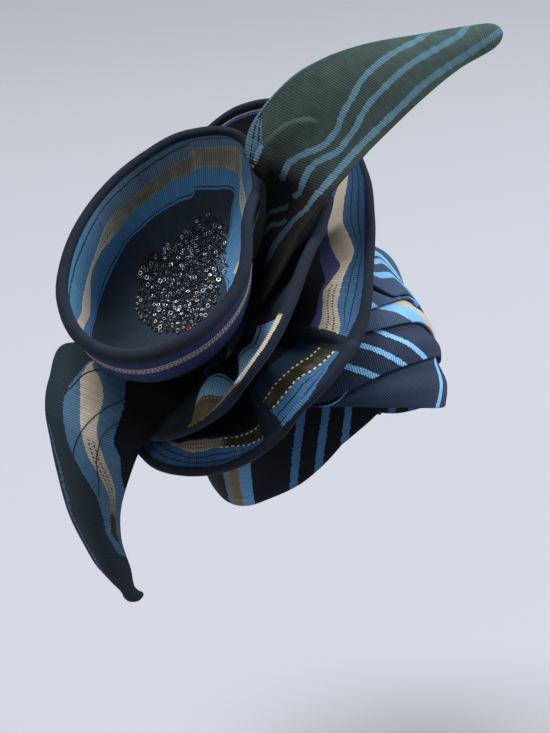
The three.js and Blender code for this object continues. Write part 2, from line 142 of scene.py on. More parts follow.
# Tails: way along the tail, its two edges, how far the cloth bows out of their line, and its thickness
UPPER_TAIL = table("way lx ly lz rx ry rz bow cloth", [
    [0, -57, 7, 79.5, -65.7, -5, 67.5, 2, 2.2],
    [0.15, -51, -11, 121, -71, -44, 99, 5, 2.2],
    [0.26, -46, -9, 150, -43, -42, 134, 10, 2.2],
    [0.3, -48, -9, 165, -32, -43, 146, 9, 2.2],
    [0.35, -59, -7, 178, -21, -44, 158, 7, 2.2],
    [0.41, -56, -2, 194, -9, -44, 167, 4, 2.2],
    [0.48, -40, 3, 209, 7, -43, 178, 0, 2.2],
    [0.58, -10, 3, 228, 28, -41, 190, -4, 2.2],
    [0.7, 30, -4, 239, 57, -39, 206, -5, 2.2],
    [0.85, 79, -17, 243, 92, -37, 222, -4, 3],
    [0.96, 119, -30, 247, 119, -39, 231, -1, 5],
    [1, 131, -34, 245, 130, -38, 236, 0, 4],
])
LOWER_TAIL = table("way lx ly lz rx ry rz bow cloth", [
    [0, -84, 12, 53, -82, 3, 43, 2, 2.2],
    [0.16, -126, 18, 52, -116, -12, 24.8, 3, 2.2],
    [0.29, -176, 35, 65, -132, -15, 21.6, 4, 2.2],
    [0.38, -196, 23, 49, -148, -23, 14, 11, 2.2],
    [0.46, -203, 16, 34, -157, -22, 6, 17, 2.2],
    [0.55, -203, 11, 13, -165, -20, -13, 19, 2.2],
    [0.64, -202, 6, -8, -172, -20, -33, 17, 2.2],
    [0.75, -199, -2, -37, -174, -22, -53, 14, 2.2],
    [0.84, -192, -13, -62, -173, -26, -67, 9, 3],
    [0.93, -183, -22, -82, -170, -32, -84, 4, 7],
    [1, -175, -32, -99, -164, -36, -94, 0, 10],
])

# Woven bands by angle: start of each in mm from the edge, and tone (0 dark, 1 cream, below 0 in a hollow or
# crease: darker as painted shade down to -0.4, plain navy below that)
BOWL_BANDS = table("angle blue band next floor tone", [
    [0, 9, 19.7, 37.2, 52.7, 0.1], [9, 9, 21, 39, 54, 0.1], [20, 9, 17, 37.6, 51, 0.15],
    [22, 6, 40, 41, 62, 0.6], [25, 6, 42, 52, 66, 0.6], [29, 6, 44, 52, 70, 0.6],
    [32, 6, 50, 51, 74, 0.6], [50, 6, 55, 57, 84, 0.6], [63, 6, 57, 73, 80, 0.6],
    [70, 6, 64, 66, 80, 0.6], [78, 6, 61, 74, 80, 0.6], [90, 6, 66, 68, 78, 0.6],
    [105, 6, 60, 61, 72, 0.6], [120, 6, 56, 57, 66, 0.8], [140, 9, 40, 41, 56, 1],
    [160, 9, 20, 22, 46, 1], [200, 9, 22, 27, 44, 1], [218, 9, 30, 39, 51, 1], [228, 9, 38, 48, 56, 1],
    [235, 9, 43, 53, 59, 1], [245, 9, 41.6, 51, 59.5, 1], [265, 9, 40.5, 43, 60.5, 0.95],
    [279, 9, 37.4, 42.4, 60, 0.8], [295, 9, 31, 44.2, 58.3, 0.45], [305, 9, 29, 44.2, 56.5, 0.25],
    [320, 9, 31, 42, 56.7, 0.05], [335, 9, 29, 41.8, 55.5, 0], [348, 9, 28.5, 39.6, 56.5, 0],
    [358, 9, 26, 40, 57.5, 0],
])
# On the outer ruffle, tones below 1 at 43 to 60 and 124 to 150 degrees mix the cream towards olive as painted
# shade, and the rows at -1 from 61 to 66 and from 98 to 105 degrees paint its pleat creases navy as painted
# shade
OUTER_BANDS = table("angle blue band next floor tone", [
    [0, 8, 22, 31, 45, 1], [3, 9, 25.6, 36, 46, 1], [9, 10.5, 27.7, 39.4, 47, 1],
    [16, 12, 23.5, 37.5, 45, 1], [25, 11, 18.5, 31, 42, 1], [30, 10.3, 21.5, 27, 39, 1],
    [37, 10.3, 25, 33, 36.5, 1], [43, 11.2, 26.3, 38, 39, 0.8], [48, 12.3, 27, 37.5, 40, 0.7],
    [60, 15.7, 21, 35.5, 41, 0.65], [61.2, 15.7, 21, 35.5, 41, -1], [66.3, 14.5, 17.5, 32, 48, -1],
    [67.5, 14.5, 17.5, 32, 48, 0], [72, 14.5, 18.2, 32, 48, 0], [78, 11, 21, 35, 48, 0],
    [84, 7, 23.8, 34.9, 48, 0], [90, 5, 21.5, 34, 48, 0], [97, 6, 22, 33, 47, 0],
    [98.2, 6, 22, 33, 47, -1], [104.8, 9, 14.5, 28, 29, -1], [106, 9, 14.5, 28, 29, 0],
    [112, 9.7, 16, 27.6, 28.5, 0], [117, 8, 19.4, 28, 28.5, 0], [120, 7.6, 20.5, 29, 29.5, 0.1],
    [124, 7.3, 22, 29.5, 30, 0.5], [127, 8, 21, 30, 30.5, 0.6], [132, 9, 20, 30, 30.5, 0.6],
    [139, 9, 24, 27, 27.5, 0.6], [150, 9, 26, 27, 27.5, 0.6], [180, 9, 26, 34, 46, 0.5],
    [240, 9, 26, 38, 52, 0], [300, 9, 24, 38, 52, 0.2], [325, 11, 11.4, 12.6, 13, 1],
    [346, 11, 11.4, 12.6, 13, 1], [352, 8, 14, 15, 20, 1],
])
MIDDLE_BANDS = table("angle blue band next floor tone", [
    [8, 3, 3.4, 3.8, 40, -1], [66, 3, 3.4, 12, 60, -1], [68, 3, 3.4, 13, 62, 1],
    [76, 3, 3.4, 14, 68, 1], [84, 3, 3.4, 13, 70, 1], [90, 3, 3.4, 7, 68, 1], [93, 3, 3.4, 4, 58, 0.9],
    [95, 3, 3.4, 4, 40, -0.2], [98, 3, 3.5, 20, 44, -0.05], [104, 3, 3.5, 27, 54, 0.1],
    [110, 3, 3.5, 31, 62, 0], [114, 3, 3.5, 32, 56, 0], [120, 3, 3.5, 29, 46, 0],
    [121, 3, 3.5, 28, 44, -1], [149, 3, 3.5, 16, 34, -1],
])

# The same bands on the lower tail by way along it, as parts of its width from its left edge
LOWER_BANDS = table("way blue band next floor tone", [
    [0.29, 0.27, 0.27, 0.28, 0.58, 1], [0.305, 0.26, 0.265, 0.29, 0.61, 1],
    [0.33, 0.25, 0.255, 0.4, 0.64, 1], [0.35, 0.22, 0.25, 0.45, 0.66, 1],
    [0.38, 0.18, 0.28, 0.49, 0.675, 1], [0.41, 0.17, 0.32, 0.505, 0.69, 1],
    [0.46, 0.2, 0.38, 0.545, 0.72, 1], [0.5, 0.25, 0.46, 0.65, 0.84, 0.9],
    [0.55, 0.35, 0.6, 0.77, 0.9, 0.8], [0.59, 0.5, 0.735, 0.86, 1, 0.7],
    [0.63, 0.65, 0.83, 0.905, 1.05, 0.5], [0.69, 0.73, 0.83, 0.93, 1.1, 0],
    [0.74, 0.735, 0.81, 0.94, 1.1, 0], [0.78, 0.77, 0.93, 0.95, 1.1, 0], [0.82, 0.83, 1, 1.02, 1.1, 0],
    [0.85, 1.05, 1.1, 1.15, 1.2, 0],
])

# Part of the width for the last level, way where the thin edge stripe starts, and the least level before that
LOWER_LAST_LEVEL, EDGE_STRIPE_WAY, PLAIN_LEVEL = 0.3, 0.5, 0.3

# Loose running stitches on the lower tail: way along it, and part of its width
LOWER_THREADS = [table("way part", rows) for rows in (
    [[0.3, 0.38], [0.32, 0.33], [0.34, 0.27], [0.38, 0.2], [0.4, 0.17]],
    [[0.33, 0.66], [0.39, 0.54], [0.43, 0.46], [0.47, 0.39], [0.51, 0.34], [0.54, 0.32]],
    [[0.41, 0.68], [0.44, 0.62], [0.47, 0.59], [0.5, 0.585], [0.54, 0.6], [0.58, 0.64], [0.62, 0.66]],
)]
THREAD_RADIUS = 0.35

# Tips of the tails: way where finer steps start, their count, and ways over which the section gets round
TIP_WAY, TIP_STEPS, TIP_ROUNDING = 0.9, 51, (0.85, 0.95)
# Part of a tail's size left by way along it
UPPER_TIP = table("way size", [[0.97, 1], [0.985, 0.96], [0.995, 0.75], [1, 0.3]])
LOWER_TIP = table("way size", [
    [0.88, 1], [0.93, 0.86], [0.955, 0.74], [0.968, 0.8], [0.98, 0.95], [0.99, 0.9], [0.997, 0.62],
    [1, 0.15],
])

# Stripes of the upper tail: half width in mm, and middle line by way along the tail, as a part of its width
UPPER_STRIPES = [(half, table("way middle", rows)) for half, rows in (
    (2.0, [
        [0.33, 0.38], [0.36, 0.44], [0.39, 0.46], [0.41, 0.5], [0.43, 0.56], [0.45, 0.62], [0.47, 0.66],
        [0.51, 0.65], [0.54, 0.6], [0.59, 0.53], [0.64, 0.43], [0.75, 0.27], [0.81, 0.17], [0.84, 0.07],
        [0.87, -0.05],
    ]),
    (2.0, [
        [0.3, 0.52], [0.31, 0.6], [0.35, 0.67], [0.39, 0.67], [0.42, 0.69], [0.44, 0.74], [0.47, 0.79],
        [0.5, 0.78], [0.54, 0.76], [0.57, 0.72], [0.61, 0.67], [0.65, 0.64], [0.69, 0.6], [0.76, 0.53],
        [0.81, 0.48], [0.89, 0.32], [0.92, 0.1], [0.94, -0.1],
    ]),
    (2.2, [
        [0.13, 0.28], [0.17, 0.28], [0.21, 0.35], [0.26, 0.57], [0.3, 0.82], [0.37, 0.9], [0.5, 0.91],
        [0.57, 0.91], [0.66, 0.9], [0.72, 0.87], [0.86, 0.83], [0.94, 0.67], [0.99, 0.4], [1, 0.2],
    ]),
    (1.5, [[0.21, -0.04], [0.24, 0.08], [0.26, 0.22], [0.275, 0.36]]),
    (1.5, [[0.18, 0.02], [0.22, 0.15], [0.24, 0.31], [0.25, 0.37]]),
)]
# Turned-back strip on the upper tail's left edge, as a part of the tail's width by way along it
TURNED_STRIP = table("way width", [[0.33, 0], [0.345, 0.06], [0.4, 0.17], [0.44, 0.1], [0.485, 0]])
# Dark lines on that strip: places as parts of it, and half width in mm
TURNED_LINES, TURNED_LINE_HALF = (0.35, 0.7), 0.6
# Pale edge of the upper tail beyond that strip: its width as a part of the tail's, and its middle and reach
PALE_EDGE, PALE_WAY, PALE_REACH = 0.015, 0.54, 0.1
# Tones of the upper tail in its hollow by the bowl and by its root, below 0 so as to paint shade there, and
# on the turned strip, below 0 so that it is a little darker
HOLLOW_SHADE_TONE, TURNED_TONE = -0.35, -0.14
# Soft fold across the upper tail: way along the tail of its crease by part of the width, height and reach
TAIL_FOLD = table("part way", [
    [0, 0.34], [0.15, 0.4], [0.2, 0.43], [0.25, 0.46], [0.3, 0.48], [0.4, 0.5], [0.6, 0.51],
])
TAIL_FOLD_HEIGHT, TAIL_FOLD_REACH = 4.0, 0.13

# Pleats pressed in the outer ruffle: angle where each drops back, and its height
OUTER_PLEATS = {62: 6.0, 100: 5.0}
# Angles over which a pleat rises and drops, angle where it starts to come level, and power that sets it out
PLEAT_RISE, PLEAT_DROP, PLEAT_LEVEL, PLEAT_OUT = 26, 2.5, 6, 1.6
# Soft gathers in the bowl by the beads: angle and way to the rim with the reach of each, count and height
GATHER_ANGLE, GATHER_ANGLE_REACH, GATHER_WAY, GATHER_WAY_REACH = 212, 48, 0.42, 0.3
GATHER_COUNT, GATHER_HEIGHT = 17, 1.6

# Stripes of the cap: direction round the head of each stripe's two edges, and its colour
# Most cap stripes take a darker blue, painted shade on the cap
CAP_STRIPES = [
    (-168, -163.5, "shaded_blue"), (-154, -149.5, "shaded_blue"), (-140, -135.5, "shaded_blue"), (-91.5, -87, "grey"),
    (-87, -80, "brown"), (-80, -72.5, "blue"), (-53.8, -50.6, "shaded_blue"), (-42.2, -39, "shaded_blue"),
    (-31.2, -28, "shaded_blue"), (60, 64.5, "shaded_blue"), (74, 78.5, "shaded_blue"), (88, 92.5, "shaded_blue"),
]
# Lean of those stripes in degrees, directions over which it sets in and ends, and mm for a degree
CAP_LEAN, CAP_LEAN_IN, CAP_LEAN_OUT = 16, (-70, -55), (0, -20)
CAP_DEGREE = 1.5
# Stripes of the folds: lean in degrees, angle from the right ear of each stripe's two edges, and its colour
FOLD_LEAN = {"brow_band": -16, "front_fold_1": 26, "front_fold_2": 22, "front_fold_3": 22}
BROW_STRIPES = [(51.5, 53.3, "sky"), (111, 115.6, "sky")]
FOLD_STRIPES = {
    "front_fold_1": [(76.4, 80.4, "sky"), (92.4, 96.1, "sky"), (107.8, 112, "sky")],
    "front_fold_2": [(109.7, 124.5, "sky"), (124.5, 140, "cream"), (140, 156, "sky")],
    "front_fold_3": [(88, 93, "sky"), (125, 130, "sky")],
}
# Stripes of the crown: way of each stripe's edges from the front edge (0) to the back edge (100), and colour
CROWN_STRIPES = [
    (6.1, 8.8, "sky"), (12.6, 14.4, "sky"), (15.6, 18.4, "sky"), (31, 33.4, "blue"), (37, 38.6, "blue"),
    (52, 54.4, "blue"), (58, 59.6, "blue"), (73, 75.4, "blue"), (79, 80.6, "blue"),
]
# Usual turn of the crown's front edge, and share of its departures that the stripes make up for further back
CROWN_EDGE, CROWN_STRAIGHT = 58, 0.7
# Bend of the stripes by angle from the right ear, and parts of the way where it fades and that sets in
CROWN_BEND_FADE, CROWN_STRAIGHTEN = (0.12, 1), (0.15, 0.35)
CROWN_BEND = table("ear level", [[102, 0], [118, 0], [128, 6.25], [163, 20]])


def cubic(x, y, slope, q):
    """A cubic curve through rows at x with values y and slopes, read at q and level beyond its ends."""
    i = np.clip(np.searchsorted(x, q, side="right") - 1, 0, len(x) - 2)
    w = x[i + 1] - x[i]
    t = np.clip((q - x[i]) / w, 0, 1)
    value = (1 + 2 * t) * (1 - t) ** 2 * y[i] + t * t * (3 - 2 * t) * y[i + 1]
    return value + w * t * (1 - t) * ((1 - t) * slope[i] - t * slope[i + 1])


def curve(tab, name, period=0.0):
    """A smooth curve through one column of a table, against its first column."""
    x, y = next(iter(tab.values())), tab[name]
    start = x[0]
    if period:
        x = np.concatenate([x[-2:] - period, x, x[:2] + period])
        y = np.concatenate([y[-2:], y, y[:2]])
    ends_x, ends_y = np.pad(x, 1, "edge"), np.pad(y, 1, "edge")
    slope = (ends_y[2:] - ends_y[:-2]) / (ends_x[2:] - ends_x[:-2])

    def at(q):
        q = np.asarray(q, float)
        if period:
            q = start + (q - start) % period
        return cubic(x, y, slope, q)

    return at


def column_at(tab, name, q, period=None):
    """One column of a table against its first, along a smooth curve that never passes beyond its rows."""
    x, y = next(iter(tab.values())), tab[name]
    if period:
        x, y = np.concatenate([x - period, x, x + period]), np.tile(y, 3)
    rise = np.diff(y) / np.diff(x)
    before, after = rise[:-1], rise[1:]
    level_off = before * after <= 0
    slope = np.where(level_off, 0, 2 * before * after / np.where(level_off, 1, before + after))
    return cubic(x, y, np.concatenate([[0], slope, [0]]), q)


def smooth(a, b, x):
    """A soft step from 0 at a to 1 at b."""
    t = np.clip((x - a) / (b - a), 0, 1)
    return t * t * (3 - 2 * t)


def swell(x, middle, reach):
    """A soft bump of height 1."""
    return 1 - smooth(0, reach, np.abs(x - middle))


def unit(v):
    return v / np.maximum(np.linalg.norm(v, axis=-1, keepdims=True), 1e-12)


def stack(x, y, z):
    return np.stack(np.broadcast_arrays(x, y, z), axis=-1)


def cos(degrees):
    return np.cos(np.radians(degrees))


def sin(degrees):
    return np.sin(np.radians(degrees))


def over_head(direction, lift):
    """Points over the head hollow: directions on the unit sphere, raised by a lift."""
    height = np.where(direction[..., 2] > 0, TOP, BELOW)
    lift = np.asarray(lift, float)
    half = stack(SIDE + lift, FRONT + lift, height + lift)
    return half * direction


def over_fold(ear, turn, lift):
    """Points over the head by angle from the right ear and turn up from the brow."""
    direction = stack(-cos(ear), -sin(ear) * cos(turn), sin(ear) * sin(turn))
    return over_head(direction, lift)


class Seat:
    """Directions about an axis: the axis, the way up across it, and the way to the wearer's front."""

    def __init__(self, azimuth, elevation):
        flat = cos(elevation)
        self.axis = np.array([flat * sin(azimuth), -flat * cos(azimuth), sin(elevation)])
        self.up = unit(np.array([0, 0, 1.0]) - self.axis[2] * self.axis)
        self.front = np.cross(self.up, self.axis)

    def around(self, angle):
        angle = np.asarray(angle, float)[..., None]
        return cos(angle) * self.up + sin(angle) * self.front


SEAT = Seat(SEAT_AZIMUTH, SEAT_ELEVATION)
BOWL = Seat(BOWL_AZIMUTH, BOWL_ELEVATION)
BOWL_BOTTOM = BOWL_MIDDLE - BOWL_DEPTH * BOWL.axis


def on_seat(reach, angle, lift):
    """Points on the head under the rosette: angle from the seat's middle, and angle round it."""
    reach = np.asarray(reach, float)[..., None]
    way = cos(reach) * SEAT.axis + sin(reach) * SEAT.around(angle)
    height = np.where(way[..., 2] > 0, TOP, BELOW)
    return over_head(unit(way / stack(SIDE, FRONT, height)), lift)


def ruffle_wall(tab, period, part, lift, wave, pleats=()):
    """Middle surface of a ruffle, from its ring on the seat to its rim."""
    middle = on_seat(0.0, 0.0, SEAT_LIFT["outer"])
    radius, height = curve(tab, "radius", period), curve(tab, "height", period)

    def at(angle, v):
        angle, v = np.broadcast_arrays(angle, v)
        w = v[..., None]
        root = on_seat(np.full(angle.shape, RING[part]), angle, SEAT_LIFT[part])
        rim = middle + radius(angle)[..., None] * SEAT.around(angle) + height(angle)[..., None] * SEAT.axis
        bend = root + RUFFLE_BEND * (rim - root) + lift * SEAT.axis
        point = root * (1 - w) ** 2 + bend * 2 * w * (1 - w) + rim * w * w
        out = wave(angle) * np.sin(np.pi * v)
        for edge, rise in pleats:
            fold = smooth(edge - PLEAT_RISE, edge, angle) - 1.5 * smooth(edge, edge + PLEAT_DROP, angle)
            fold = fold + 0.5 * smooth(edge + PLEAT_LEVEL, edge + PLEAT_RISE, angle)
            out = out + rise * fold * np.sin(np.pi * np.maximum(v, 0) ** PLEAT_OUT)
        return point + out[..., None] * SEAT.axis

    return at


def bowl_point(angle, v):
    """Middle surface of the bowl: angle round it, and way from the middle of its floor to its rim."""
    angle, v = np.broadcast_arrays(angle, v)
    rim = curve(BOWL_RIM, "radius", 360)(angle)
    depth = BOWL_DEPTH - curve(BOWL_RIM, "dip", 360)(angle)
    belly = curve(BOWL_RIM, "belly", 360)(angle)
    t = np.maximum((v - FLOOR_WAY) / (1 - FLOOR_WAY), 0)
    wall = BOWL_FLOOR + (rim - BOWL_FLOOR) * (1 - np.maximum(1 - t, 0) ** belly)
    out = np.where(v > FLOOR_WAY, wall, BOWL_FLOOR * v / FLOOR_WAY)
    gather = swell(angle, GATHER_ANGLE, GATHER_ANGLE_REACH) * swell(v, GATHER_WAY, GATHER_WAY_REACH)
    out = out + GATHER_HEIGHT * gather * sin(GATHER_COUNT * angle)
    height = depth * (0.2 * t + 0.8 * t * t)
    return BOWL_BOTTOM + out[..., None] * BOWL.around(angle) + height[..., None] * BOWL.axis


def tail_surface(tab):
    """Middle surface of a tail between its two edges, bowed out of their line."""
    column = {name: curve(tab, name) for name in tab if name != "way"}

    def edge(side, w):
        return stack(*(column[side + axis](w) for axis in "xyz"))

    def at(w, v):
        w, v = np.broadcast_arrays(w, v)
        left, right = edge("l", w), edge("r", w)
        ahead, behind = w + 0.01, w - 0.01
        along = edge("l", ahead) + edge("r", ahead) - edge("l", behind) - edge("r", behind)
        square = unit(np.cross(along, right - left))
        bow = column["bow"](w) * np.sin(np.pi * v)
        part = v[..., None]
        return left * (1 - part) + right * part + bow[..., None] * square

    return at, column["cloth"]


def facing(surface, u, v):
    """Direction square to a surface."""
    step = 1e-3
    along = surface(u + step, v) - surface(u - step, v)
    return unit(np.cross(along, surface(u, v + step) - surface(u, v - step)))


ROLL_STEPS = 14


def cloth_rows(us, vs, at, cloth, roll=None, pole=None):
    """Rows of points round a cloth: its front from the root to the edge, its rolled edge, and its back."""
    u, v = us[:, None], vs[None, :]
    step = 1e-3
    middle = at(u, v)
    across = unit(at(u, v + step) - at(u, v - step))
    normal = unit(np.cross(at(u + step, v) - at(u - step, v), across))
    if pole is not None:
        normal[:, vs == 0] = pole
    half = (np.broadcast_to(cloth, middle.shape[:2]) / 2)[..., None]
    front, back = middle + half * normal, middle - half * normal
    parts = [front]
    if roll is not None:
        r = roll(us)[:, None]
        thick = half[:, -1]
        centre = middle[:, -1] + np.sqrt(r * r - thick * thick) * across[:, -1]
        opening = np.pi - np.arcsin(thick / r)
        turn = opening * (1 - 2 * np.arange(1, ROLL_STEPS)[None, :] / ROLL_STEPS)
        turn, r = turn[..., None], r[..., None]
        out, side = across[:, -1][:, None, :], normal[:, -1][:, None, :]
        parts.append(centre[:, None, :] + r * np.cos(turn) * out + r * np.sin(turn) * side)
    parts.append(back[:, ::-1])
    return np.hstack(parts)


def lengths(points, axis):
    """Distance run along one axis of a grid of points, from its start."""
    step = np.linalg.norm(np.diff(points, axis=axis), axis=-1)
    start = np.zeros_like(np.take(step, [0], axis=axis))
    return np.concatenate([start, np.cumsum(step, axis=axis)], axis=axis)


def both_faces(grid):
    """A grid over the front of a cloth and back over its other face, with its first column once more."""
    return np.hstack([grid, grid[:, ::-1], grid[:, :1]])


def tube_faces(rings, sides, closed):
    """Four-cornered faces between rings of points, by their numbers."""
    i, j = np.meshgrid(np.arange(rings if closed else rings - 1), np.arange(sides), indexing="ij")
    here, after = i * sides, (i + 1) % rings * sides
    beside = (j + 1) % sides
    return np.stack([here + j, here + beside, after + beside, after + j], axis=-1).reshape(-1, 4)


def add_object(name, data):
    """A new object in the scene."""
    added = bpy.data.objects.new(name, data)
    bpy.context.scene.collection.objects.link(added)
    return added


def cloth_mesh(name, rows, closed, weave, stripe, material):
    """A closed cloth body through rows of points.

    weave is (along, across) in mm, and stripe is (tone, level), the place in the woven stripes. Their grids
    have one more column than the rows, and one more row where the cloth closes on itself.
    """
    count, m = rows.shape[:2]
    faces = tube_faces(count, m, closed)
    i, j = np.divmod(faces[:, 0], m)
    at = [np.stack([i, i, i + 1, i + 1], axis=1), np.stack([j, j + 1, j + 1, j], axis=1)]
    if not closed:
        k = np.arange(m // 2 - 1)
        for row, flip in ((0, False), (count - 1, True)):
            end = np.stack([k, m - 1 - k, m - 2 - k, k + 1], axis=1)
            end = end[:, ::-1] if flip else end
            faces = np.concatenate([faces, row * m + end])
            at = [np.concatenate([at[0], np.full(end.shape, row)]), np.concatenate([at[1], end])]
    mesh = bpy.data.meshes.new(name)
    mesh.from_pydata((rows.reshape(-1, 3) * MM).tolist(), [], faces.tolist())
    shape = (count + closed, m + 1)
    for layer, pair in (("weave", weave), ("stripe", stripe)):
        grid = np.stack([np.broadcast_to(part, shape) for part in pair], axis=-1)
        uv = mesh.uv_layers.new(name=layer)
        uv.data.foreach_set("uv", grid[at[0], at[1]].astype(np.float32).ravel())
    mesh.materials.append(material)
    mesh.polygons.foreach_set("use_smooth", [True] * len(mesh.polygons))
    return tidy(name, mesh)


def tidy(name, mesh):
    """An object of a mesh with shared points merged, empty faces dropped and faces turned out."""
    bm = bmesh.new()
    bm.from_mesh(mesh)
    bmesh.ops.remove_doubles(bm, verts=bm.verts, dist=1e-6)
    bmesh.ops.dissolve_degenerate(bm, edges=bm.edges, dist=1e-7)
    bmesh.ops.recalc_face_normals(bm, faces=bm.faces)
    bm.to_mesh(mesh)
    bm.free()
    return add_object(name, mesh)


def linear(red, green, blue):
    """A linear colour from sRGB values of 0 to 255."""
    c = np.array([red, green, blue]) / 255
    return (*np.where(c <= 0.04045, c / 12.92, ((c + 0.055) / 1.055) ** 2.4), 1)


# Colours of the yarns as sRGB values, from darks and blues to browns and creams. Some are darker or lighter
# copies that paint shade or light: the darker slate, the darker blues of the cap and outer ruffle, the dark
# ground of the upper tail, and the lighter indigo and sky blue of the ruffles
COLOURS = {name: linear(*values) for name, values in {
    "black": (14, 18, 22), "coal": (35, 46, 54), "shaded_ground": (32, 33, 31), "navy": (26, 34, 45),
    "dim": (37, 48, 67), "slate": (55, 72, 97), "ash": (46, 56, 66), "grey": (90, 106, 120),
    "line": (26, 36, 52), "inner": (34, 52, 74), "indigo": (38, 45, 82), "lit_indigo": (58, 64, 108),
    "darker_shaded_blue": (46, 76, 106), "shaded_blue": (60, 100, 138), "steel": (66, 98, 124), "next": (80, 128, 164),
    "blue": (84, 134, 170), "sky": (112, 168, 210), "bright": (140, 196, 232), "dusty": (100, 118, 134),
    "mist": (76, 108, 124), "teal": (60, 80, 76), "olive": (46, 45, 31), "moss": (114, 109, 92),
    "brown": (108, 94, 66), "braid": (138, 131, 124), "thread": (150, 146, 136),
    "cream": (174, 163, 146), "stitch": (206, 198, 182), "pale": (216, 204, 184),
}.items()}


class Nodes:
    """A material, with short ways to add and join its nodes."""

    def __init__(self, name):
        self.material = bpy.data.materials.new(name)
        self.material.use_nodes = True
        self.tree = self.material.node_tree
        self.shader = self.tree.nodes["Principled BSDF"].inputs

    def add(self, kind, inputs, **settings):
        node = self.tree.nodes.new("ShaderNode" + kind)
        for key, value in settings.items():
            setattr(node, key, value)
        for key, value in inputs.items():
            self.feed(node.inputs[key], value)
        return node

    def feed(self, socket, value):
        if isinstance(value, bpy.types.NodeSocket):
            self.tree.links.new(value, socket)
        else:
            socket.default_value = value

    def math(self, operation, *values):
        return self.add("Math", dict(enumerate(values)), operation=operation).outputs[0]

    def pair(self, layer):
        """The two values of a UV layer."""
        place = self.add("UVMap", {}, uv_map=layer).outputs[0]
        parts = self.add("SeparateXYZ", {0: place}).outputs
        return parts[0], parts[1]

    def noise(self, size_mm, detail=2.0):
        """Soft spots of a given size."""
        place = self.add("TexCoord", {}).outputs["Object"]
        inputs = {"Vector": place, "Scale": 1 / (size_mm * MM), "Detail": detail}
        return self.add("TexNoise", inputs).outputs[0]

    def between(self, value, low, high):
        """1 where a value lies between two limits, else 0."""
        above, below = self.math("GREATER_THAN", value, low), self.math("LESS_THAN", value, high)
        return self.math("MULTIPLY", above, below)

    def ramp(self, value, stops):
        """Colours that start at given values, with sharp edges between them."""
        low, high = stops[0][0], stops[-1][0] + 1
        scaled = self.math("DIVIDE", self.math("SUBTRACT", value, low), high - low)
        node = self.add("ValToRGB", {0: scaled})
        node.color_ramp.interpolation = "CONSTANT"
        elements = node.color_ramp.elements
        while len(elements) < len(stops):
            elements.new(1)
        for element, (start, colour) in zip(elements, stops):
            element.position = (start - low) / (high - low)
            element.color = COLOURS[colour]
        return node.outputs[0]

    def mix(self, factor, first, second, blend="MIX"):
        inputs = {"Fac": factor, "Color1": first, "Color2": second}
        return self.add("MixRGB", inputs, blend_type=blend).outputs[0]

    def paint(self, inputs):
        """The material, with values or nodes for its shader's inputs."""
        for key, value in inputs.items():
            self.feed(self.shader[key], value)
        return self.material


# Weave: how far ribs and single yarns shift a stripe's edge, and the power of a sine that shapes the ribs
RIB_SHIFT, YARN_SHIFT, RIB_SHAPE = 0.5, 0.9, 0.7
# How much yarns, clouds and fine grain change the lightness, its value halfway up a rib, and its least value
YARN_LIGHT, CLOUD_LIGHT, GRAIN_LIGHT, MEAN_LIGHT, LEAST_LIGHT = 0.16, 0.3, 0.4, 0.81, 0.05
# Sizes in mm of the clouds, of the patches where the tone changes, of the grain and of a thread's twist
CLOUD, PATCH, GRAIN, TWIST = 26, 9, 0.7, 0.8
# Tone below which no stripe shows and the cloth is plain navy, and the tone at which the painted shade of
# tones below 0 would make the cloth black
BARE_TONE, BLACK_TONE = -0.4, -0.5
# Height of the ribs in mm
RIB_BUMP = 0.35


def spun(name, dark, light):
    """Spun thread, darker and lighter along its twist."""
    nodes = Nodes(name)
    twist = nodes.noise(TWIST)
    return nodes.paint({
        "Base Color": nodes.mix(twist, (*dark, 1), (*light, 1)),
        "Roughness": nodes.math("MULTIPLY_ADD", twist, 0.3, 0.55),
    })


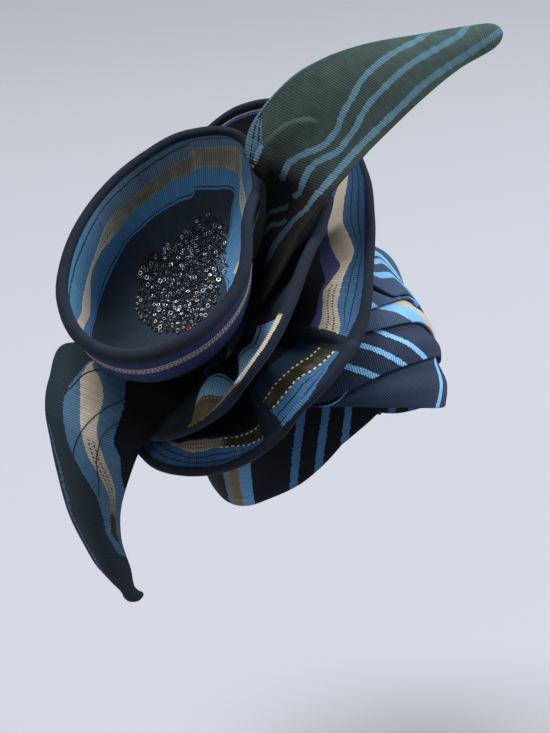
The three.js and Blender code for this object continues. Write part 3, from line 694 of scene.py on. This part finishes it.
def woven(name, stops, saw, swap=None, bias=0.0, dots=(), relief=0.75):
    """Ribbed cloth with woven stripes.

    stops are the level where each colour starts, and saw is how far the ribs shift those edges, in levels.
    swap gives the colours that change with the tone. bias is the ribs' turn in degrees. dots are stitched
    lines, and relief is how much lighter the ribs' tops are than their grooves: partly the yarns' own
    colour, partly painted shade in the grooves.
    """
    nodes = Nodes(name)
    math = nodes.math
    along, across = nodes.pair("weave")
    tone, level = nodes.pair("stripe")
    run = math("ADD", math("MULTIPLY", along, cos(bias)), math("MULTIPLY", across, sin(bias)))
    phase = math("DIVIDE", run, RIB)
    rib = math("POWER", math("ABSOLUTE", math("SINE", math("MULTIPLY", phase, np.pi))), RIB_SHAPE)
    yarn = nodes.add("TexWhiteNoise", {"W": math("FLOOR", phase)}, noise_dimensions="1D").outputs[0]
    shift = math("ADD", math("MULTIPLY", rib, RIB_SHIFT), math("MULTIPLY", yarn, YARN_SHIFT))
    level = math("MULTIPLY_ADD", math("SUBTRACT", shift, (RIB_SHIFT + YARN_SHIFT) / 2), saw, level)

    colour = nodes.ramp(level, stops)
    if swap:
        other = nodes.ramp(level, [(start, swap.get(c, c)) for start, c in stops])
        patch = math("MULTIPLY_ADD", math("SUBTRACT", nodes.noise(PATCH), 0.5), 0.5, tone)
        colour = nodes.mix(math("MINIMUM", math("MAXIMUM", patch, 0.0), 1.0), colour, other)
    for middle, half, pitch, thread, tone_low, tone_high in dots:
        line = nodes.between(level, middle - half, middle + half)
        dash = math("LESS_THAN", math("FRACT", math("DIVIDE", along, pitch)), 0.5)
        shown = nodes.between(tone, tone_low, tone_high)
        colour = nodes.mix(math("MULTIPLY", math("MULTIPLY", line, dash), shown), colour, COLOURS[thread])
    # Below BARE_TONE the cloth is plain navy with no stripes
    colour = nodes.mix(math("LESS_THAN", tone, BARE_TONE), colour, COLOURS["navy"])

    cloud, grain = nodes.noise(CLOUD, 3), nodes.noise(GRAIN, 1)
    # Lighter rib tops and darker grooves: partly yarn colour, partly painted shade in the grooves
    light = math("MULTIPLY_ADD", rib, relief, MEAN_LIGHT - relief / 2)
    light = math("MULTIPLY_ADD", yarn, YARN_LIGHT, light)
    for spots, share in ((cloud, CLOUD_LIGHT), (grain, GRAIN_LIGHT)):
        light = math("MULTIPLY_ADD", spots, share, math("SUBTRACT", light, share / 2))
    # Painted shade: tones between BARE_TONE and 0 darken the cloth towards black at BLACK_TONE, in hollows
    # and creases and at steps of tone from 0 to -1
    painted_shade = math("MULTIPLY", nodes.between(tone, BARE_TONE, 0.0), math("MULTIPLY", tone, -1 / BLACK_TONE))
    light = math("MAXIMUM", math("MULTIPLY_ADD", light, painted_shade, light), LEAST_LIGHT)
    shade = nodes.add("CombineColor", {0: light, 1: light, 2: light}).outputs[0]
    height = math("MULTIPLY_ADD", grain, 0.35, rib)
    bump = nodes.add("Bump", {"Strength": 0.6, "Distance": RIB_BUMP * MM, "Height": height})
    return nodes.paint({
        "Base Color": nodes.mix(1.0, colour, shade, "MULTIPLY"),
        "Roughness": math("MULTIPLY_ADD", grain, 0.2, 0.66),
        "Sheen Weight": 0.03,
        "Specular IOR Level": 0.07,
        "Normal": bump.outputs[0],
    })


def stripe_stops(stripes, ground):
    """Ramp stops of separate stripes on a ground colour."""
    stops = [(stripes[0][0] - 60, ground)]
    for low, high, colour in stripes:
        if stops[-1][0] == low:
            stops.pop()
        stops += [(low, colour), (high, ground)]
    return stops


def band_level(tab, u, inward, reach, period=None):
    """Level in the woven bands: 0 at the edge and a whole number at the start of each band."""
    level, start = 0 * inward, 0 * inward
    for name in ("blue", "band", "next", "floor"):
        end = column_at(tab, name, u, period)
        level = level + np.clip((inward - start) / np.maximum(end - start, 0.01), 0, 1)
        start = end
    return level + np.clip((inward - start) / reach, 0, 1)


# Points along and across each piece
GRID = {
    "cap": (181, 41), "fold": (181, 33), "crown": (161, 101), "outer": (481, 61), "middle": (181, 61),
    "bowl": (301, 61), "tail": (240, 91), "thread": (60, 6),
}


def steps(piece, low, high, axis=0):
    """Even steps of a piece's grid."""
    return np.linspace(low, high, GRID[piece][axis])


def make_cap(material):
    edge = curve(CAP_EDGE, "latitude", 360)
    azimuth, v = steps("cap", -180, 180)[:, None], steps("cap", 0, 1, 1)[None, :]
    latitude = edge(azimuth) * (1 - v) + 90 * v
    flat = np.where(v == 1, 0, cos(latitude))
    direction = stack(flat * sin(azimuth), -flat * cos(azimuth), sin(latitude))
    outside, inside = over_head(direction, CLOTH), over_head(direction, 0.0)
    rows = np.hstack([outside, inside[:, ::-1]])
    run = lengths(outside, 1)
    lean = CAP_LEAN * smooth(*CAP_LEAN_IN, azimuth) * smooth(*CAP_LEAN_OUT, azimuth)
    level = azimuth - lean * both_faces(v)
    return cloth_mesh("cap", rows[:-1], True, (both_faces(run), azimuth * CAP_DEGREE), (0, level), material)


# Columns of the edge table for each fold: its own edge, and those of the next two layers
FOLDS = {
    "brow_band": ("brow", "first", "second"),
    "front_fold_1": ("first", "second", "third"),
    "front_fold_2": ("second", "third", "crown"),
    "front_fold_3": ("third", "crown", None),
}
# Height of a fold where it lies on the cap, and what its free edge has over that on the fold below
BASE_LIFT = CLOTH + GAP
RAISED = CLOTH + GAP


def layer_mesh(name, ear, v, at, level, material):
    """A layer of cloth over the head, its two faces a cloth apart."""
    outside = at(ear, v, CLOTH)
    rows = np.hstack([outside, at(ear, v, 0.0)[:, ::-1]])
    weave = lengths(outside[:, :1], 0), both_faces(lengths(outside, 1))
    return cloth_mesh(name, rows, False, weave, (0, both_faces(level(ear, v))), material)


def make_fold(name, material):
    own, following, after = FOLDS[name]
    low, high = curve(FOLD_EDGES, own), curve(FOLD_EDGES, following)
    beyond = curve(FOLD_EDGES, after) if after else (lambda ear: high(ear) + 40)
    ear, v = steps("fold", FOLD_RIGHT, FOLD_LEFT)[:, None], steps("fold", 0, 1, 1)[None, :]

    def at(ear, v, face):
        width = high(ear) - low(ear)
        tuck = FOLD_TUCK * np.minimum(width, beyond(ear) - high(ear))
        turn = low(ear) * (1 - v) + (high(ear) + tuck) * v
        x = (turn - low(ear)) / width
        puff = np.minimum(FOLD_PUFF, 0.1 * width) * np.sin(np.pi * np.minimum(x / FOLD_FLAT, 1))
        lift = BASE_LIFT + RAISED * (1 - smooth(FOLD_RAISED, FOLD_FLAT, x)) + puff
        return over_fold(ear, turn, lift + face)

    return layer_mesh(name, ear, v, at, lambda ear, v: ear + FOLD_LEAN[name] * v, material)


def make_crown(material):
    low = curve(FOLD_EDGES, "crown")
    ear, v = steps("crown", FOLD_RIGHT, FOLD_LEFT)[:, None], steps("crown", 0, 1, 1)[None, :]

    def at(ear, v, face):
        drop = np.minimum(NAPE_DROP / (BELOW * sin(ear)), sin(NAPE_TURN))
        nape = 180 + np.degrees(np.arcsin(drop))
        turn = low(ear) * (1 - v) + nape * v
        lift = CLOTH + CROWN_GAP + RAISED * (1 - smooth(CROWN_HIGH, CROWN_SETTLE, turn - low(ear)))
        ridge = swell(ear, RIDGE_EAR, RIDGE_EAR_REACH) * swell(turn, RIDGE_TURN, RIDGE_TURN_REACH)
        return over_fold(ear, turn, lift + RIDGE_HEIGHT * ridge + face)

    def level(ear, v):
        bend = column_at(CROWN_BEND, "level", ear) * (1 - smooth(*CROWN_BEND_FADE, v))
        straighten = CROWN_STRAIGHT * (1 - v) * (low(ear) - CROWN_EDGE) * smooth(*CROWN_STRAIGHTEN, v)
        return 100 * v + bend + straighten

    return layer_mesh("crown_wrap", ear, v, at, level, material)


# Rolled-edge cloths: mm for a level on the back, and for the last level on the front
BACK_LEVEL, LAST_LEVEL = 10, 20


def rimmed_mesh(name, rows, front, angle, bands, closed, material):
    """A rolled-edge cloth; its level is counted in from the edge, and below 0 on the back."""
    edge = front + ROLL_STEPS // 2
    run = lengths(np.hstack([rows, rows[:, :1]]), 1)
    across = run - run[:, edge:edge + 1]
    along = lengths(rows[:, edge:edge + 1], 0)
    period = 360 if closed else None
    level = band_level(bands, angle[:, None], np.maximum(-across, 0), LAST_LEVEL, period)
    level = np.where(across > 0, -across / BACK_LEVEL, level)
    tone = column_at(bands, "tone", angle[:, None], period)
    return cloth_mesh(name, rows[:-1] if closed else rows, closed, (along, across), (tone, level), material)


def make_outer(material):
    def ripple(angle):
        return RIPPLE_HEIGHT * sin(angle * RIPPLE_COUNT + RIPPLE_PHASE)

    wall = ruffle_wall(OUTER_RIM, 360, "outer", OUTER_SWELL, ripple, OUTER_PLEATS.items())
    angle, vs = steps("outer", 0, 360), steps("outer", 0, 1, 1)
    rows = cloth_rows(angle, vs, wall, RUFFLE_CLOTH, curve(OUTER_RIM, "roll", 360))
    return rimmed_mesh("outer_ruffle", rows, len(vs), angle, OUTER_BANDS, True, material)


def make_middle(material):
    wall = ruffle_wall(MIDDLE_RIM, 0, "middle", MIDDLE_SWELL, curve(MIDDLE_RIM, "gather"))
    angle, vs = steps("middle", *MIDDLE_RIM["angle"][[0, -1]]), steps("middle", 0, 1, 1)
    rows = cloth_rows(angle, vs, wall, RUFFLE_CLOTH, curve(MIDDLE_RIM, "roll"))
    return rimmed_mesh("middle_ruffle", rows, len(vs), angle, MIDDLE_BANDS, False, material)


def make_bowl(material):
    angle = steps("bowl", 0, 360)
    neck_way = FLOOR_WAY * BOWL_NECK / BOWL_FLOOR
    neck_wall = FLOOR_WAY * RUFFLE_CLOTH / BOWL_FLOOR
    floor = [0, 0.08, neck_way - neck_wall, neck_way, 0.22, 0.26]
    vs = np.concatenate([floor, steps("bowl", FLOOR_WAY, 1, 1)])
    rows = cloth_rows(angle, vs, bowl_point, RUFFLE_CLOTH, curve(BOWL_RIM, "roll", 360), BOWL.axis)
    under = [bowl_point(angle, way) - BOWL.axis * RUFFLE_CLOTH / 2
             for way in (neck_way, neck_way - neck_wall)]
    seat = [on_seat(np.full(angle.shape, reach), angle, SEAT_LIFT["bowl"])
            for reach in (RING["bowl"], RING["bowl"] - NECK_WALL)]
    t = np.linspace(0, 1, 7)[1:, None]
    outside = under[0][:, None] * (1 - t) + seat[0][:, None] * t
    inside = under[1][:, None] * (1 - t) + seat[1][:, None] * t
    after = rows.shape[1] - list(vs).index(neck_way)
    rows = np.hstack([rows[:, :after], outside, inside[:, ::-1], rows[:, after:]])
    return rimmed_mesh("rosette_bowl", rows, len(vs), angle, BOWL_BANDS, True, material)


def upper_level(way, v, width, points):
    """Distance into the nearest stripe of the upper tail in mm, below 0 outside the stripes."""
    level = np.full(points.shape[:2], -20.0)
    surface = tail_surface(UPPER_TAIL)[0]
    for half, stripe in UPPER_STRIPES:
        ways = np.linspace(stripe["way"][0], stripe["way"][-1], 160)
        for place in surface(ways, column_at(stripe, "middle", ways)):
            level = np.maximum(level, half - np.linalg.norm(points - place, axis=-1))
    strip = column_at(TURNED_STRIP, "width", way)
    turned = (strip - v) * width
    for part in TURNED_LINES:
        turned = np.minimum(turned, np.abs(v - strip * part) * width - TURNED_LINE_HALF)
    level = np.where(v < strip, turned, level)
    return np.where((v < PALE_EDGE) & (np.abs(way - PALE_WAY) < PALE_REACH), 1, level)


def upper_tone(way, v):
    """Tone of the upper tail: a dark ground by the rosette, partly painted shade, teal towards the tip, and
    below 0, painted shade, in the hollow and by the root.
    """
    hollow = (1 - smooth(0.34, 0.4, way)) * (1 - smooth(0.4, 0.6, v))
    # Painted shade: the hollow and the part by the root are darkened
    shaded_part = np.maximum(hollow, 1 - smooth(0.22, 0.38, way))
    tone = (0.5 * smooth(0.3, 0.46, way) + 0.5 * smooth(0.55, 1, way)) * (1 - shaded_part)
    tone = tone + HOLLOW_SHADE_TONE * shaded_part
    return np.where(v < column_at(TURNED_STRIP, "width", way), TURNED_TONE, tone)


def upper_fold(way, v):
    """Height of the soft fold across the upper tail, over its plain surface."""
    below = column_at(TAIL_FOLD, "way", v) - way
    rise = smooth(-0.006, 0.008, below) * (1 - smooth(0, TAIL_FOLD_REACH, below))
    return TAIL_FOLD_HEIGHT * rise * (1 - smooth(0.3, 0.55, v))


def lower_level(way, v, width, points):
    """Level in the lower tail's bands; its thin edge stripe shows only on the hanging half."""
    level = band_level(LOWER_BANDS, way, v, LOWER_LAST_LEVEL)
    return np.where(way < EDGE_STRIPE_WAY, np.maximum(level, PLAIN_LEVEL), level)


def lower_tone(way, v):
    return column_at(LOWER_BANDS, "tone", way)


def flat_fold(way, v):
    return 0 * way * v


def make_tail(name, tab, level, tone, fold, tip, material):
    surface, cloth = tail_surface(tab)
    us = np.concatenate([steps("tail", 0, TIP_WAY), np.linspace(TIP_WAY, 1, TIP_STEPS)[1:]])
    vs = steps("tail", 0, 1, 1)
    u, v = us[:, None], vs[None, :]

    def folded(u, v):
        return surface(u, v) - fold(u, v)[..., None] * facing(surface, u, v)

    rounded = np.sqrt(np.maximum(1 - (2 * v - 1) ** 2, 0.02))
    blend = smooth(*TIP_ROUNDING, u)
    rows = cloth_rows(us, vs, folded, cloth(u) * (1 - blend + blend * rounded))
    heart = rows.mean(axis=1, keepdims=True)
    rows = heart + (rows - heart) * column_at(tip, "size", us)[:, None, None]
    middle = surface(u, v)
    run, half = lengths(middle, 1), len(vs) // 2
    along = lengths(middle[:, half:half + 1], 0)
    tones, levels = tone(u, v) + 0 * run, level(u, v, run[:, -1:], middle)
    stripe = both_faces(tones), both_faces(levels)
    return cloth_mesh(name, rows, False, (along, both_faces(run)), stripe, material)


def make_threads(name, tab, paths, material):
    """Thin round threads that lie on a tail's cloth."""
    surface, cloth = tail_surface(tab)
    sides = np.arange(GRID["thread"][1]) * 360 / GRID["thread"][1]
    points, faces = [], []
    for path in paths:
        w = steps("thread", *path["way"][[0, -1]])
        v = column_at(path, "part", w)
        out = facing(surface, w, v)
        line = surface(w, v) + (cloth(w) / 2 + 0.6 * THREAD_RADIUS)[:, None] * out
        side = unit(np.cross(np.gradient(line, axis=0), out))
        ring = cos(sides)[None, :, None] * out[:, None] + sin(sides)[None, :, None] * side[:, None]
        faces += (tube_faces(len(w), len(sides), False) + len(points) * len(w) * len(sides)).tolist()
        points.append((line[:, None] + THREAD_RADIUS * ring).reshape(-1, 3))
    mesh = bpy.data.meshes.new(name)
    mesh.from_pydata((np.concatenate(points) * MM).tolist(), [], faces)
    mesh.materials.append(material)
    return tidy(name, mesh)


# Beads: radius of a ring and of its wire, steps round both, and least and largest size
BEAD_RING, BEAD_THICK = 1.1, 0.45
RING_STEPS, WIRE_STEPS = 12, 6
BEAD_SIZES = (0.85, 1.15)
# Their scatter: places tried, least distance, tilt, share left out at the edge, and height over the floor
BEAD_TRIES, BEAD_SPACING, BEAD_TILT, BEAD_THINNED = 9000, 2.9, 0.7, 0.75
BEAD_LOW, BEAD_HIGH = 1.9, 3.0
# Their shades with the share of each, and the one wine-red bead by place and shade
BEAD_SHADES = [((0.05, 0.055, 0.06), 0.45), ((0.22, 0.21, 0.22), 0.41), ((0.68, 0.69, 0.7), 0.14)]
WINE_BEAD, WINE_SHADE = (-112, -9, 82), (0.25, 0.02, 0.04)


def over_bowl(angle, v, lift):
    """Points over the inside of the bowl, raised square to its cloth, and the square direction."""
    step = 0.02
    across = bowl_point(angle, v + step) - bowl_point(angle, np.maximum(v - step, 0))
    square = unit(np.cross(across, BOWL.around(angle + 90)))
    square = square * np.sign(square @ BOWL.axis)[:, None]
    return bowl_point(angle, v) + lift[:, None] * square, square


def make_beads(material):
    """Ring beads scattered over the bowl's floor, piled a little in the middle."""
    rng = np.random.default_rng(5)
    angle, part = rng.uniform(0, 360, BEAD_TRIES), np.sqrt(rng.uniform(0, 1, BEAD_TRIES))
    lift = BEAD_LOW + rng.uniform(0, 1, BEAD_TRIES) * BEAD_HIGH * (1 - part ** 2)
    places, square = over_bowl(angle, part * curve(BEAD_REACH, "reach", 360)(angle), lift)
    keep = np.where(rng.uniform(0, 1, BEAD_TRIES) < 1 - BEAD_THINNED * part ** 4)[0]
    kept = []
    for k in keep:
        if not kept or np.min(np.linalg.norm(places[kept] - places[k], axis=1)) > BEAD_SPACING:
            kept.append(k)
    places, square = places[kept], square[kept]
    axle = unit(square + BEAD_TILT * rng.normal(0, 0.6, square.shape))
    side = unit(np.cross(axle, BOWL.up + 0.01))
    other = np.cross(axle, side)

    round_ring = np.arange(RING_STEPS) * 360 / RING_STEPS
    round_wire = np.arange(WIRE_STEPS) * 360 / WIRE_STEPS
    reach = BEAD_RING + BEAD_THICK * cos(round_wire)[None, :, None]
    ring = [cos(round_ring)[:, None, None], sin(round_ring)[:, None, None]]
    size = rng.uniform(*BEAD_SIZES, len(kept))[:, None, None, None]
    shape = (reach * ring[0])[None] * side[:, None, None] + (reach * ring[1])[None] * other[:, None, None]
    shape = shape + (BEAD_THICK * sin(round_wire))[None, None, :, None] * axle[:, None, None]
    points = places[:, None, None] + size * shape
    bead_points = RING_STEPS * WIRE_STEPS
    turned_out = tube_faces(RING_STEPS, WIRE_STEPS, True)[:, [0, 3, 2, 1]]
    faces = turned_out + bead_points * np.arange(len(kept))[:, None, None]
    mesh = bpy.data.meshes.new("bead_cluster_rings")
    mesh.from_pydata((points.reshape(-1, 3) * MM).tolist(), [], faces.reshape(-1, 4).tolist())
    shades = np.array([shade for shade, _ in BEAD_SHADES])
    picked = shades[rng.choice(len(shades), len(kept), p=[share for _, share in BEAD_SHADES])]
    picked[np.argmin(np.linalg.norm(places - np.array(WINE_BEAD), axis=1))] = WINE_SHADE
    colour = np.repeat(np.insert(picked, 3, 1, axis=1), bead_points, axis=0)
    layer = mesh.attributes.new("bead_colour", "FLOAT_COLOR", "POINT")
    layer.data.foreach_set("color", colour.astype(np.float32).ravel())
    mesh.materials.append(material)
    mesh.polygons.foreach_set("use_smooth", [True] * len(mesh.polygons))
    return add_object("bead_cluster_rings", mesh)


def bead_glass():
    nodes = Nodes("bead_glass")
    return nodes.paint({
        "Base Color": nodes.add("Attribute", {}, attribute_name="bead_colour").outputs["Color"],
        "Roughness": nodes.math("MULTIPLY_ADD", nodes.noise(2), 0.2, 0.06),
        "Metallic": 0.75,
    })


# Colours of the rolled-edge pieces and the lower tail: level where each starts, below 0 on the back
UNDERSIDE = [(-9, "navy"), (-4.6, "indigo"), (-2.85, "braid"), (-2.25, "indigo")]
LINED = UNDERSIDE + [
    (-1.3, "navy"), (1, "dusty"), (1.36, "line"), (1.41, "dusty"), (2, "moss"), (3, "next"), (3.8, "line"),
    (3.86, "next"), (4, "ash"),
]
# The outer ruffle's colours: darker blues than the bowl's, painted shade
SHADED = UNDERSIDE + [
    (-1.3, "navy"), (1, "shaded_blue"), (1.3, "line"), (1.35, "shaded_blue"), (1.62, "line"), (1.67, "shaded_blue"), (2, "olive"),
    (3, "inner"), (4, "black"),
]
# The middle ruffle's colours: its sky blue is a lighter copy, painted light
TURNED = UNDERSIDE + [
    (-0.3, "navy"), (2, "brown"), (3, "bright"), (3.8, "line"), (3.86, "bright"), (4, "navy"),
]
HANGING = [
    (0, "coal"), (0.1, "steel"), (0.17, "coal"), (1, "steel"), (2, "olive"), (3, "steel"), (4, "black"),
]
# Stitched lines: level, half width, pitch in mm, colour, and the tones between which they show
ZIGZAG = [
    (2.36, 0.05, 2.4, "line", 0.4, 0.97), (2.66, 0.05, 2.4, "line", 0.4, 0.97),
    (-2.4, 0.08, 2.4, "olive", -1, 2), (-2.68, 0.08, 3.1, "indigo", -1, 2),
]
FINE_STITCH = [(2.07, 0.03, 2.6, "thread", -0.3, 0.4), (2.93, 0.03, 2.6, "thread", -0.3, 0.4)]
BOLD_STITCH = [(2.09, 0.045, 4.4, "stitch", -0.3, 0.4), (2.91, 0.045, 4.4, "stitch", -0.3, 0.4)]
# Each cloth's colours that change with the tone; on the outer ruffle a high tone also swaps in a darker blue,
# painted shade, and a lighter indigo, painted light
BOWL_SWAP = {"moss": "pale", "dusty": "blue"}
OUTER_SWAP = {"olive": "cream", "shaded_blue": "darker_shaded_blue", "inner": "lit_indigo"}
BOWL_CLOTH = woven("bowl_cloth", LINED, 0.04, BOWL_SWAP, dots=FINE_STITCH + ZIGZAG)
OUTER_CLOTH = woven("outer_cloth", SHADED, 0.05, OUTER_SWAP, dots=BOLD_STITCH + ZIGZAG)
MIDDLE_CLOTH = woven("middle_cloth", TURNED, 0.05, {"brown": "cream"}, dots=FINE_STITCH[1:] + ZIGZAG)
LOWER_CLOTH = woven("lower_tail_cloth", HANGING, 0.06, {"olive": "cream"}, dots=FINE_STITCH + ZIGZAG[:2])
# The upper tail's ground is darker by the rosette, partly painted shade, and teal towards the tip
UPPER_CLOTH = woven("upper_tail_cloth", [(-30, "shaded_ground"), (0, "mist")], 0.75, {"shaded_ground": "teal"})
CAP_CLOTH = woven("cap_cloth", stripe_stops(CAP_STRIPES, "black"), 0.6)
# Stronger rib contrast for the brow, crown and folds: partly yarn colour, partly painted shade in the grooves
STRONG_RELIEF = 1.75
# The brow band and first fold have a darker copy of slate as ground, painted shade from the rosette
BROW_CLOTH = woven("brow_cloth", stripe_stops(BROW_STRIPES, "dim"), 0.5, bias=40, relief=STRONG_RELIEF)
CROWN_CLOTH = woven("crown_cloth", stripe_stops(CROWN_STRIPES, "slate"), 0.3, relief=STRONG_RELIEF)
FOLD_GROUND = {"front_fold_1": "dim", "front_fold_2": "slate", "front_fold_3": "slate"}
THREAD_DARK, THREAD_LIGHT = (0.004, 0.005, 0.008), (0.014, 0.017, 0.022)

PIECES = {
    "cap": make_cap(CAP_CLOTH),
    "brow_band": make_fold("brow_band", BROW_CLOTH),
    "crown_wrap": make_crown(CROWN_CLOTH),
    "outer_ruffle": make_outer(OUTER_CLOTH),
    "middle_ruffle": make_middle(MIDDLE_CLOTH),
    "rosette_bowl": make_bowl(BOWL_CLOTH),
    "upper_tail": make_tail(
        "upper_tail", UPPER_TAIL, upper_level, upper_tone, upper_fold, UPPER_TIP, UPPER_CLOTH),
    "lower_tail": make_tail(
        "lower_tail", LOWER_TAIL, lower_level, lower_tone, flat_fold, LOWER_TIP, LOWER_CLOTH),
}
for fold, ground in FOLD_GROUND.items():
    stops = stripe_stops(FOLD_STRIPES[fold], ground)
    PIECES[fold] = make_fold(fold, woven(fold + "_cloth", stops, 0.6, relief=STRONG_RELIEF))
PIECES["bead_cluster"] = make_beads(bead_glass())
for name, piece in PIECES.items():
    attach(piece, "root")
    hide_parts(name)
    piece.name = name + "_look"
thread = spun("dark_thread", THREAD_DARK, THREAD_LIGHT)
threads = make_threads("lower_tail_threads", LOWER_TAIL, LOWER_THREADS, thread)
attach(threads, "root")

# Camera at the photograph's angle
PHOTO_HEIGHT_PX, FOCAL_PX, SENSOR_MM = 733, 1971, 36
VIEW_AZIMUTH, VIEW_ELEVATION, VIEW_DISTANCE = -36.0, 24.0, 1.38
VIEW_TARGET = np.array([-17.8, 20.2, 13.1]) * MM
view = Seat(VIEW_AZIMUTH, VIEW_ELEVATION)
camera = add_object("camera", bpy.data.cameras.new("camera"))
camera.data.sensor_fit = "VERTICAL"
camera.data.sensor_height = SENSOR_MM
camera.data.lens = SENSOR_MM * FOCAL_PX / PHOTO_HEIGHT_PX
camera.location = VIEW_TARGET + VIEW_DISTANCE * view.axis
camera.rotation_euler = np.radians([90 - VIEW_ELEVATION, 0, VIEW_AZIMUTH])
bpy.context.scene.camera = camera

# Floor and light
FLOOR_Z, FLOOR_HALF = -0.32, 40.0
FLOOR_NEAR, FLOOR_FAR = (0.36, 0.38, 0.42, 1), (1, 1, 1, 1)
FLOOR_FADE = (2.0, 9.0)


def floor_paint():
    """Pale grey by the object and white far off, where less light falls, so that no horizon shows."""
    nodes = Nodes("floor")
    place = nodes.add("TexCoord", {}).outputs["Object"]
    away = nodes.add("VectorMath", {0: place}, operation="LENGTH").outputs["Value"]
    limits = {"Value": away, "From Min": FLOOR_FADE[0], "From Max": FLOOR_FADE[1]}
    fade = nodes.add("MapRange", limits, interpolation_type="SMOOTHSTEP").outputs[0]
    return nodes.paint({"Base Color": nodes.mix(fade, FLOOR_NEAR, FLOOR_FAR), "Roughness": 0.9})


floor_mesh = bpy.data.meshes.new("floor")
corners = [(x * FLOOR_HALF, y * FLOOR_HALF, FLOOR_Z) for x, y in ((-1, -1), (1, -1), (1, 1), (-1, 1))]
floor_mesh.from_pydata(corners, [], [(0, 1, 2, 3)])
floor_mesh.materials.append(floor_paint())
floor = add_object("floor", floor_mesh)

world = bpy.data.worlds.new("studio")
world.use_nodes = True
sky = world.node_tree.nodes["Background"].inputs
sky["Color"].default_value = (0.85, 0.9, 1.0, 1)
sky["Strength"].default_value = 0.13
bpy.context.scene.world = world

# Soft lights: place in metres, width and power
LIGHTS = {
    "top": ((-0.9, 0.9, 3.7), 2.0, 190),
    "right": ((3.4, -1.2, 2.8), 1.6, 230),
    "left": ((-3.6, -1.6, 2.4), 2.4, 40),
}
for name, (place, width, power) in LIGHTS.items():
    lamp = add_object(name, bpy.data.lights.new(name, "AREA"))
    lamp.data.size = width
    lamp.data.energy = power
    lamp.location = place
    away = unit(np.array(place) - VIEW_TARGET)
    lamp.rotation_euler = (np.arccos(away[2]), 0, np.arctan2(away[0], -away[1]))
bpy.context.scene.view_settings.view_transform = "Standard"
